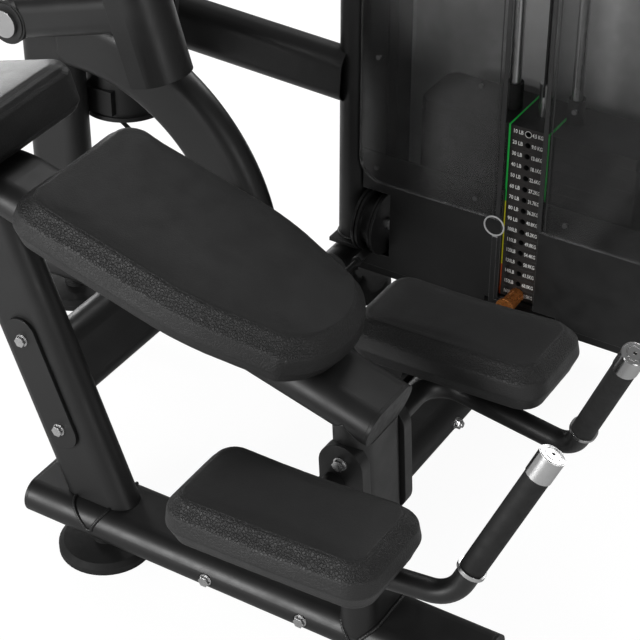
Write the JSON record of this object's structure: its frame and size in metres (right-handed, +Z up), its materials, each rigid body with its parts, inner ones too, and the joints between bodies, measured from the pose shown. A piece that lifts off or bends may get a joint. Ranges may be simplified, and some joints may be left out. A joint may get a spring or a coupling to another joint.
{
  "type": "prone leg curl machine",
  "caption": "Selectorised prone leg curl: sloped torso and thigh pads, elbow pads with grips, counterweighted knee lever with ankle roller, side weight tower.",
  "frame": {"origin": "on the floor at the middle of the bench's rear foot, under the bench's centre line", "axes": "+X toward the head end and the hand grips, +Y toward the weight tower, +Z up; the knee axis is parallel to Y"},
  "size_m": [1.6907, 1.5388, 1.48],
  "materials": {
    "frame_paint": "satin fine-texture powder coat, charcoal",
    "stack_steel": "matt black paint",
    "sheet_paint": "fine-texture powder coat, dark grey",
    "pad_vinyl": "black upholstery vinyl, embossed grain on the sides",
    "pad_board": "black moulded board",
    "chrome": "bright chrome plate",
    "zinc": "bright zinc plate",
    "steel": "ground steel",
    "rubber": "black moulded rubber",
    "black_plastic": "black nylon",
    "smoked_panel": "smoked clear polycarbonate, 5 mm",
    "knob_copper": "copper-orange anodised metal",
    "belt_black": "black urethane belt and coated cable",
    "foam": "black foam sleeve"
  },
  "bodies": {
    "frame": {"arc_tube": "frame_paint", "arm_tubes": "frame_paint", "base_tubes": "frame_paint", "bearing_housings": "frame_paint", "bench_tube": "frame_paint", "bench_uprights": "frame_paint", "brace_tube": "frame_paint", "cable_guard_drum": "frame_paint", "cross_tubes": "frame_paint", "far_elbow_pad": "pad_vinyl", "frame_bolts": "zinc", "grip_fittings": "chrome", "guide_rods": "chrome", "hand_grips": "rubber", "hoist_belt": "belt_black", "knee_bearings": "steel", "left_shroud": "smoked_panel", "leveling_feet": "frame_paint", "mounting_plates": "frame_paint", "near_elbow_pad": "pad_vinyl", "nuts_and_washers": "zinc", "pad_boards": "pad_board", "pivot_column": "frame_paint", "pulley_axles": "steel", "pulley_brackets": "frame_paint", "rear_cable": "belt_black", "right_shroud": "smoked_panel", "sheet_panels": "sheet_paint", "shroud_screws": "zinc", "stack_bumpers": "rubber", "thigh_pad": "pad_vinyl", "torso_pad": "pad_vinyl", "tower_belt": "belt_black", "tower_columns": "frame_paint", "tower_crossmembers": "frame_paint", "tube_plugs": "black_plastic"},
    "lever": {"knee_shaft": "steel", "shaft_hubs": "frame_paint", "lever_arm": "frame_paint", "counterweight": "frame_paint", "cam_wheel": "black_plastic", "shaft_end_cap": "chrome", "lever_plug": "black_plastic"},
    "roller_arm": {"roller_carrier": "frame_paint", "roller_axle": "steel"},
    "clamp_knob_body": {"clamp_knob": "black_plastic"},
    "roller": {"roller_core_tube": "chrome", "ankle_roller": "foam"},
    "stack": {"weight_plates": "stack_steel", "top_plate": "stack_steel", "selector_stem": "steel", "rod_collars": "rubber"},
    "pin": {"selector_pin": "steel", "pin_knob": "knob_copper", "pin_lanyard": "black_plastic"},
    "low_pulley_body": {"low_pulley": "black_plastic"},
    "top_left_pulley_body": {"top_left_pulley": "black_plastic"},
    "top_right_pulley_body": {"top_right_pulley": "black_plastic"},
    "corner_pulley_body": {"corner_pulley": "black_plastic"}
  },
  "joints": [
    {"name": "lever_swing", "type": "hinge", "parent": "frame", "child": "lever", "pos_m": [-0.49, 0.466, 0.615], "axis": [0, 1, 0], "range_deg": [0, 110]},
    {"name": "stack_lift", "type": "slide", "parent": "frame", "child": "stack", "axis": [0, 0, 1], "range_m": [0, 0.37], "deforming": ["hoist_belt"]},
    {"name": "pin_pull", "type": "slide", "parent": "stack", "child": "pin", "axis": [0, -1, 0], "range_m": [0, 0.078]},
    {"name": "roller_adjust", "type": "slide", "parent": "lever", "child": "roller_arm", "axis": [0.9563, 0, 0.2924], "range_m": [0, 0.08]},
    {"name": "clamp_knob_turn", "type": "hinge", "parent": "roller_arm", "child": "clamp_knob_body", "pos_m": [-0.74055, 0.466, 0.5384], "axis": [0, 1, 0], "continuous": true},
    {"name": "roller_spin", "type": "hinge", "parent": "roller_arm", "child": "roller", "pos_m": [-0.8, 0, 0.65], "axis": [0, 1, 0], "continuous": true},
    {"name": "low_pulley_turn", "type": "hinge", "parent": "frame", "child": "low_pulley_body", "pos_m": [0.015, 0.842, 0.168], "axis": [-1, 0, 0], "range_deg": [0, 420]},
    {"name": "top_left_pulley_turn", "type": "hinge", "parent": "frame", "child": "top_left_pulley_body", "pos_m": [0.06474, 0.87706, 1.33], "axis": [0.1012, -0.9949, 0], "range_deg": [0, 420]},
    {"name": "top_right_pulley_turn", "type": "hinge", "parent": "frame", "child": "top_right_pulley_body", "pos_m": [0.26026, 0.89694, 1.33], "axis": [0.1012, -0.9949, 0], "range_deg": [0, 420]},
    {"name": "corner_pulley_turn", "type": "hinge", "parent": "frame", "child": "corner_pulley_body", "pos_m": [-0.015, 0.68, 0.118], "axis": [0, 0, -1], "range_deg": [0, 700]}
  ],
  "couplings": [
    {"joint": "stack_lift", "follows": "lever_swing", "m_per_rad": 0.19},
    {"joint": "low_pulley_turn", "follows": "lever_swing", "ratio": 3.8},
    {"joint": "top_left_pulley_turn", "follows": "lever_swing", "ratio": 3.8},
    {"joint": "top_right_pulley_turn", "follows": "lever_swing", "ratio": 3.8},
    {"joint": "corner_pulley_turn", "follows": "lever_swing", "ratio": 6.3333}
  ]
}
